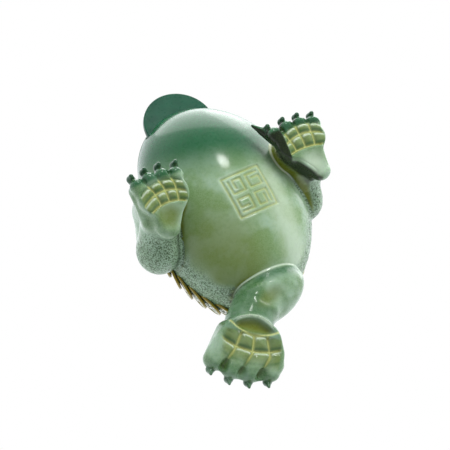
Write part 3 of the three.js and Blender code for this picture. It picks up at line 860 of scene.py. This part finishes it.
def sculpt_limb(name):
    field = LIMBS[name]
    foot = FEET[name]
    pitch = LIMB_PITCH
    points, quads = surface(field, *LIMB_SPACES[name], pitch)
    normals = unit(gradient(field, points, 0.15))
    q = foot.local(points)
    rear = name == "rear_leg"
    left = name == "front_left_leg"
    depth, line, edge, hollow, pads, pad_shade = rear_sole(q) if rear else front_sole(q, left)
    below = step(-normals[:, 2], 0.35, 0.7)
    if rear:
        nail = claws(q, rear_axis, REAR_CLAW_ROOTS, *REAR_CLAW)
    else:
        nail = claws(q, front_axis, CLAW_ROOTS[left], *FRONT_CLAW)
    claw = step(-nail, -0.25, 0.0) * step(q[:, 1], 5, 9)
    pitted = np.zeros(len(points))
    if not rear:
        pitted = step(points[:, 2], 5, 13) * step(points[:, 1], 8, 13)
    pits = 0.14 * pitted * step(noise(points, 1.1), 0.5, 0.7)
    off_trunk = sample(trunk, points)
    # a painted highlight along the limb's join with the trunk, which the right front leg does not
    # get
    seam_highlight = groove(off_trunk - 0.25, 0.3) * step(-points[:, 2], -16, -9)
    chest = (0.0 if rear else 0.6) * step(-points[:, 1], -3, 9) * step(points[:, 2], 8, 18)
    # valley: sinks the skin just below the trunk's rim; on the rear leg it also gets painted shade
    valley = step(off_trunk, 0.4, 1.4) * step(-off_trunk, -6.5, -2.0)
    depth = depth * below * (1 - claw) + pits
    inner_wall = pale = np.zeros(len(points))
    forefoot = step(q[:, 1], 4.0, 6.0) * (1 - pads)
    dish = np.zeros(len(points))
    if rear:
        x, y = points[:, 0] + 5.6, points[:, 1] - 48.6
        # dish: a shallow dimple on the haunch, filled with olive painted shade
        dish = below * np.exp(-(((x - 0.3 * y) / 6.0) ** 2 + ((y + 0.3 * x) / 3.1) ** 2) ** 1.5)
        fold = segment_distance(points[:, :2], (-10.8, 49.3), (-4.8, 54.0))
        ridge = groove(fold, 1.5) * below
        depth += 1.3 * dish + 0.6 * valley * below - 0.55 * ridge
        outer_heel = 0.55 * step(-points[:, 0], 1, 11) * step(-q[:, 1], -5, 2)
        forefoot = np.maximum(0.4 * step(q[:, 1], 12, 17), outer_heel)
    elif left:
        # inner_wall: painted shade on the left foot's inner wall beside the belly, olive near the
        # trunk and dark further off
        inner_wall = step(-normals[:, 0], -0.05, 0.3) * step(points[:, 2], 0.6, 2.2)
        inner_wall = inner_wall * step(off_trunk, 0.5, 0.9) * step(-q[:, 0], -5.0, -1.0)
        inner_wall = np.maximum(inner_wall, step(-q[:, 0], 5.8, 7.0) * step(-q[:, 1], -8.5, -6.0))
        # pale: a painted highlight in the left palm's hollow, which gets no painted shade
        pale, hollow = 0.6 * hollow * below, 0 * hollow
    else:
        seam_highlight = 0 * seam_highlight
    points = points - normals * depth[:, None]
    points[:, 2] = np.maximum(points[:, 2], 0)
    # These three measure how closely the surface closes in; they paint shade into creases and
    # hollows.
    tight = crowding(casting, points, normals, 2.2)
    shade = 0.7 * crowding(casting, points, normals, 7.0)
    cavity_shade = step(crowding(field, points, normals, 3.0), 0.15, 0.7) * (1 - line)
    marks = {
        "line": 0.85 * line * below * (1 - claw),
        # edge: painted highlights on the pads' tops, along the ridge by the rear palm, along the
        # join with the trunk, and in the left palm's hollow
        "edge": np.maximum.reduce(
            (0.75 * edge * below * (1 - claw), 0.7 * seam_highlight * (1 - pitted), pale)
        ),
        # painted olive shade: creases, the right and rear palms' hollows, the haunch's dimple, and
        # beside the trunk on the left foot's inner wall
        "recess_shade": np.maximum.reduce(
            (
                0.4 * step(tight, 0.4, 1.0) * (1 - pads) * (1 - line),
                (0.9 if rear else 0.6) * hollow * below,
                0.55 * dish,
                inner_wall * step(-off_trunk, -5.0, -2.0),
            )
        ),
        "olive": 0.7 * pads * below,
        # the dark green of the toe tips, the rear heel's outer side and the chest, and painted
        # shade: the valley under the trunk's rim, creases and one side of each pad
        "deep_green_and_shade": np.maximum.reduce(
            (
                0.88 * forefoot * (1 - line),
                0.7 * valley * below * rear,
                0.5 * cavity_shade * (1 - pads),
                0.5 * pad_shade,
                chest,
            )
        ),
        "pitted": pitted * (1 - inner_wall),
        "claw": (0.55 if rear else 0.9) * claw,
        "shade": np.maximum(shade * (1 - pads), 0.9 * inner_wall * step(off_trunk, 1.8, 4.5)),
    }
    return build(name + "_casting", points.astype(float), quads.tolist(), LIMB_JADE, marks)


body = sculpt_body()
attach(body, "figurine")
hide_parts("body")
for limb_name in LIMBS:
    leg = sculpt_limb(limb_name)
    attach(leg, "figurine")
    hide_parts(limb_name)


# ---------------------------------------------------------------- coins and eyes
def coin_mesh(radius, thickness, hole, rim, around, relief, depths):
    """A cast coin lying flat about its own centre: rounded edge, raised rim, framed square hole."""
    angles = np.arange(around) * 2 * math.pi / around + math.pi / 4
    square = hole / 2 / np.maximum(np.abs(np.cos(angles)), np.abs(np.sin(angles)))
    half = thickness / 2
    shares = [0, 0.04, 0.1, 0.16, 0.2, 0.25, 0.32, 0.4, 0.48, 0.56, 0.64, 0.7]
    inner = 1 - rim / (radius - hole / 2)
    shares = [s * inner / 0.74 for s in shares] + [inner, inner + 0.03]
    shares += [inner + (1 - inner) * t for t in (0.45, 0.75, 0.92)]
    frame_end = 0.2 * inner / 0.74
    loops, rims, reliefs = [], [], []
    for face in (1, -1):
        rings = []
        sunk = depths[face]
        for s in shares:
            reach = square + (radius - square) * s
            raised = s <= frame_end or s >= inner + 0.02
            round_off = sunk * max(0, (s - inner - (1 - inner) * 0.6) / ((1 - inner) * 0.4)) ** 2
            height = half - (0 if raised else sunk) - (round_off if s > inner else 0)
            if s == 0:
                height -= 0.3 * sunk
            x, y = reach * np.cos(angles), reach * np.sin(angles)
            z = np.full(around, height)
            beads = np.zeros(around)
            if not raised:
                for quarter in range(4):
                    for dx, dy in relief:
                        turn = quarter * math.pi / 2
                        bx = dx * math.cos(turn) - dy * math.sin(turn)
                        by = dx * math.sin(turn) + dy * math.cos(turn)
                        away = np.hypot(x - bx * radius, y - by * radius) / (0.1 * radius)
                        beads = np.maximum(beads, np.sqrt(np.clip(1 - away**2, 0, 1)))
            z = z + beads * sunk * 1.1
            rings.append(np.stack((x, y, face * z), 1))
            rims.append(np.full(around, float(s >= inner + 0.02)))
            reliefs.append(beads)
        loops.append(rings)
    top, bottom = loops
    edge = [
        np.stack((radius * np.cos(angles), radius * np.sin(angles), np.full(around, z)), 1)
        for z in (half * 0.45, 0, -half * 0.45)
    ]
    count = len(shares)
    rings = top + edge + bottom[::-1]
    rims = rims[:count] + [np.ones(around)] * 3 + rims[count:][::-1]
    reliefs = reliefs[:count] + [np.zeros(around)] * 3 + reliefs[count:][::-1]
    points = np.concatenate(rings)
    rows = len(rings)
    faces = []
    for i in range(rows):
        j = (i + 1) % rows
        for k in range(around):
            m = (k + 1) % around
            faces.append((i * around + k, j * around + k, j * around + m, i * around + m))
    return points, faces, {"rim": np.concatenate(rims), "relief": np.concatenate(reliefs)}


def placed(points, axes, centre):
    return points @ np.array(axes, float).T + np.array(centre, float)


points, faces, marks = coin_mesh(
    COIN_RADIUS, COIN_THICKNESS, COIN_HOLE, 1.7, 128, [], {1: 0.3, -1: 0.0}
)
mouth_coin = build("mouth_coin_disc", placed(points, COIN_AXES, COIN_CENTRE), faces, DARK, marks)
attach(mouth_coin, "coin")
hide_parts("mouth_coin")


def string_places():
    """Axes and centre of each coin of the string, leaning from the skin over its neighbour."""
    radii = np.array(TORSO_RADII, float)
    axes = np.array(TORSO_AXES, float)
    angles = np.linspace(STRING_START, STRING_END, 401)
    height = 11.5 - 5 * np.sin(angles) + 2.5 * np.cos(angles)
    waist = np.sqrt(1 - (height / radii[2]) ** 2)
    across, along = radii[0] * waist * np.cos(angles), radii[1] * waist * np.sin(angles)
    local = np.stack((across, along, height), 1)
    normals = local / radii**2
    normals /= np.linalg.norm(normals, axis=1)[:, None]
    path, normals = local @ axes.T + TORSO_CENTRE, normals @ axes.T
    travelled = np.concatenate(((0,), np.cumsum(np.linalg.norm(np.diff(path, axis=0), axis=1))))
    places = []
    for i in range(STRING_COINS):
        at = min(np.searchsorted(travelled, travelled[-1] * i / (STRING_COINS - 1) - 1e-9), 399)
        along = path[at + 1] - path[at]
        along /= np.linalg.norm(along)
        across = np.cross(normals[at], along)
        across /= np.linalg.norm(across)
        squared = np.cross(across, normals[at])
        turn = np.stack((squared, across, normals[at]), 1)
        lean = np.array(Matrix.Rotation(-STRING_LEAN, 3, "Y"))
        centre = path[at] + normals[at] * STRING_LIFT
        centre[0] += float(sway(centre[1]))
        places.append((turn @ lean, centre))
    return places


BEADS = [(0.62, 0.0), (0.56, 0.16), (0.56, -0.16), (0.7, 0.12), (0.7, -0.12)]
disc = coin_mesh(STRING_RADIUS, STRING_THICKNESS, STRING_HOLE, 0.9, 72, BEADS, {1: 0.26, -1: 0.26})
for i, (axes, centre) in enumerate(string_places()):
    node = f"string_coin_{i + 1:02d}"
    coin = build(node + "_disc", placed(disc[0], axes, centre), disc[1], AMBER, disc[2])
    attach(coin, "figurine")
    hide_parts(node)


def eye_mesh(centre, side):
    """A glass bead with a level slit of a pupil, looking forward and out."""
    rings, around = 40, 64
    gaze = Vector((side * 0.78, -0.6, 0.12)).normalized()
    axes = gaze.to_track_quat("Z", "Y").to_matrix()
    points = [(0, 0, 1.0)]
    for i in range(1, rings):
        tilt = math.pi * i / rings
        for k in range(around):
            a = 2 * math.pi * k / around
            out = math.sin(tilt)
            points.append((out * math.cos(a), out * math.sin(a), math.cos(tilt)))
    points.append((0, 0, -1.0))
    points = np.array(points)
    slit = np.hypot(points[:, 0] / 0.42, points[:, 1] / 0.2)
    ring = np.hypot(points[:, 0], points[:, 1])
    ahead = points[:, 2] > 0
    pupil = np.where(ahead, 1 - step(slit, 0.85, 1.0), 0)
    rim = np.where(ahead, step(ring, 0.62, 0.72), 1.0)
    swell = 1 + 0.03 * np.where(ahead, 1 - step(ring, 0.3, 0.75), 0) - 0.015 * pupil
    faces = []
    for k in range(around):
        m = (k + 1) % around
        faces.append((0, 1 + k, 1 + m))
        last = 1 + (rings - 2) * around
        faces.append((len(points) - 1, last + m, last + k))
        for i in range(rings - 2):
            a, b = 1 + i * around, 1 + (i + 1) * around
            faces.append((a + k, b + k, b + m, a + m))
    surface_points = placed(points * swell[:, None] * EYE_RADIUS, axes, centre)
    return surface_points, faces, {"pupil": pupil, "rim": rim}


for node, side in (("left_eye", 1), ("right_eye", -1)):
    centre = (MID_X + side * EYE_CENTRE[0] + float(sway(EYE_CENTRE[1])), *EYE_CENTRE[1:])
    points, faces, marks = eye_mesh(centre, side)
    bead = build(node + "_bead", points, faces, EYE, marks)
    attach(bead, "figurine")
    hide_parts(node)


# ---------------------------------------------------------------- stage, light and camera
def floor():
    """A pale floor that is seen from above only, and throws nothing back at the figurine."""
    mesh = bpy.data.meshes.new("floor")
    half = 1.5
    corners = [(-half, -half, 0), (half, -half, 0), (half, half, 0), (-half, half, 0)]
    mesh.from_pydata(corners, [], [(0, 1, 2, 3)])
    n = Nodes("pale_floor")
    tone = n.mix(n.noise(6, 2), colour(236, 237, 235), colour(240, 240, 239))
    n.put(n.shader.inputs["Base Color"], tone)
    n.shader.inputs["Roughness"].default_value = 0.7
    clear = n.add("ShaderNodeBsdfTransparent")
    either = n.add("ShaderNodeMixShader")
    n.link(n.add("ShaderNodeNewGeometry").outputs["Backfacing"], either.inputs[0])
    n.link(n.shader.outputs[0], either.inputs[1])
    n.link(clear.outputs[0], either.inputs[2])
    n.link(either.outputs[0], n.tree.nodes["Material Output"].inputs["Surface"])
    mesh.materials.append(n.material)
    plane = bpy.data.objects.new("floor", mesh)
    bpy.context.scene.collection.objects.link(plane)
    plane.visible_diffuse = False
    plane.visible_glossy = False
    plane.visible_transmission = False
    plane.visible_shadow = False


CAMERA_RIGHT = Vector((0.8649, 0.3870, -0.3197))
CAMERA_UP = Vector((0.3148, -0.9142, -0.2551))
TO_CAMERA = Vector((-0.391, 0.120, -0.9125))
LOOK_AT = Vector((-9.5, 18.2, 6.5))
DISTANCE = 1.5
VIEW_WIDTH = 0.1625
FIGURINE_MIDDLE = (0, 15, 25)


def to_part(point):
    return (Vector(point) + Vector(SHIFT)) * MM


def camera():
    data = bpy.data.cameras.new("camera")
    data.lens = data.sensor_width * DISTANCE / VIEW_WIDTH
    data.clip_end = 20
    eye = bpy.data.objects.new("camera", data)
    turn = Matrix((CAMERA_RIGHT, CAMERA_UP, TO_CAMERA)).transposed()
    eye.matrix_world = Matrix.Translation(to_part(LOOK_AT) + TO_CAMERA * DISTANCE) @ turn.to_4x4()
    bpy.context.scene.collection.objects.link(eye)
    bpy.context.scene.camera = eye


def soft_light(name, toward, distance, size, power, glossy):
    """A round softbox that shines at the figurine from one side."""
    data = bpy.data.lights.new(name, "AREA")
    data.shape = "DISK"
    data.size = size
    data.energy = power
    lamp = bpy.data.objects.new(name, data)
    way = Vector(toward).normalized()
    lamp.visible_glossy = glossy
    place = Matrix.Translation(to_part(FIGURINE_MIDDLE) + way * distance)
    lamp.matrix_world = place @ way.to_track_quat("Z", "Y").to_matrix().to_4x4()
    bpy.context.scene.collection.objects.link(lamp)


# the studio's walls, from this height to this one, grow from this strength to this one
WORLD_RAMP = (-0.8, 0.25, 0.36, 1.2)


def world():
    """Pale walls that dim towards the ground, white where they are seen."""
    scene = bpy.context.scene
    scene.world = bpy.data.worlds.new("studio")
    scene.world.use_nodes = True
    tree = scene.world.node_tree
    place = tree.nodes.new("ShaderNodeTexCoord")
    split = tree.nodes.new("ShaderNodeSeparateXYZ")
    tree.links.new(place.outputs["Generated"], split.inputs[0])
    height = tree.nodes.new("ShaderNodeMapRange")
    height.interpolation_type = "SMOOTHSTEP"
    for socket, number in zip(height.inputs[1:5], WORLD_RAMP):
        socket.default_value = number
    tree.links.new(split.outputs["Z"], height.inputs[0])
    tree.links.new(height.outputs[0], tree.nodes["Background"].inputs["Strength"])
    tree.nodes["Background"].inputs["Color"].default_value = (0.93, 0.98, 1.0, 1)
    seen = tree.nodes.new("ShaderNodeBackground")
    seen.inputs["Color"].default_value = (1, 1, 1, 1)
    seen.inputs["Strength"].default_value = 1.0
    either = tree.nodes.new("ShaderNodeMixShader")
    path = tree.nodes.new("ShaderNodeLightPath")
    tree.links.new(path.outputs["Is Camera Ray"], either.inputs[0])
    tree.links.new(tree.nodes["Background"].outputs[0], either.inputs[1])
    tree.links.new(seen.outputs[0], either.inputs[2])
    tree.links.new(either.outputs[0], tree.nodes["World Output"].inputs["Surface"])
    scene.view_settings.view_transform = "Standard"


floor()
camera()
world()
# name; where it stands, to the right of, above and before the figurine as the camera sees it;
# how far off (m), how wide (m) and how strong (W); whether it shows in the gloss
LIGHTS = (
    ("key_below", (0.16, 0.89, 0.43), 0.6, 0.1, 0.5, True),
    ("key_side", (-0.5, 0.57, 0.64), 0.6, 0.05, 0.06, True),
    ("key_top", (-0.15, 0.82, -0.6), 0.8, 0.9, 3.4, True),
    ("fill_right", (0.9, 0.24, 0.36), 0.8, 0.8, 2.2, False),
    ("key_above", (0.45, 0.58, -0.67), 0.8, 0.8, 2.4, True),
    ("wash", (0.25, 0.85, 0.45), 0.8, 0.5, 3.6, False),
)
for name, (right, up, before), distance, size, power, glossy in LIGHTS:
    toward = CAMERA_RIGHT * right + CAMERA_UP * up + TO_CAMERA * before
    soft_light(name, toward, distance, size, power, glossy)
